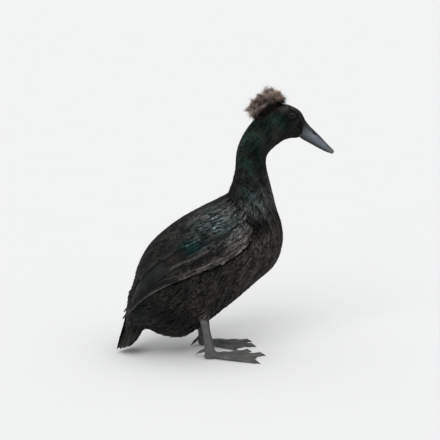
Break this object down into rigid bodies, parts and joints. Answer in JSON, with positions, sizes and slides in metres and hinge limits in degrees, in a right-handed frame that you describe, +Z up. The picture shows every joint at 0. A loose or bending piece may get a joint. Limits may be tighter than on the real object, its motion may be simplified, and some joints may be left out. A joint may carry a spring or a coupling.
{
  "type": "crested duck",
  "caption": "Standing black crested duck with a brown pom of a crest on its head, folded wings and webbed feet, as a still display model.",
  "frame": {"origin": "on the floor, under the middle of the bird's length and width", "axes": "+X towards the bill, +Y to the bird's left, +Z up"},
  "size_m": [0.3382, 0.1462, 0.4215],
  "materials": {
    "plumage": "glossy charcoal-black body feathers with a dark green sheen on the neck",
    "flight_feathers": "long black flight and tail feathers with a teal sheen and brown-grey leading edges",
    "crest": "loose, wispy brown-taupe feathers, darker at the roots",
    "bill": "satin slate-blue horn, darker nail",
    "eye": "wet, dark brown eye",
    "leg_skin": "scaled slate-grey skin with blue-grey webs",
    "claw": "dark horn"
  },
  "bodies": {
    "root": {"torso": "plumage", "neck": "plumage", "head": "plumage", "thigh_right": "plumage", "thigh_left": "plumage", "tail": "flight_feathers", "wing_right": "flight_feathers", "wing_left": "flight_feathers", "crest": "crest", "bill_upper": "bill", "bill_lower": "bill", "eye_right": "eye", "eye_left": "eye", "shank_right": "leg_skin", "shank_left": "leg_skin", "foot_right": "leg_skin", "foot_left": "leg_skin", "claw_right_outer": "claw", "claw_right_middle": "claw", "claw_right_inner": "claw", "claw_right_hallux": "claw", "claw_left_outer": "claw", "claw_left_middle": "claw", "claw_left_inner": "claw", "claw_left_hallux": "claw"}
  },
  "joints": []
}
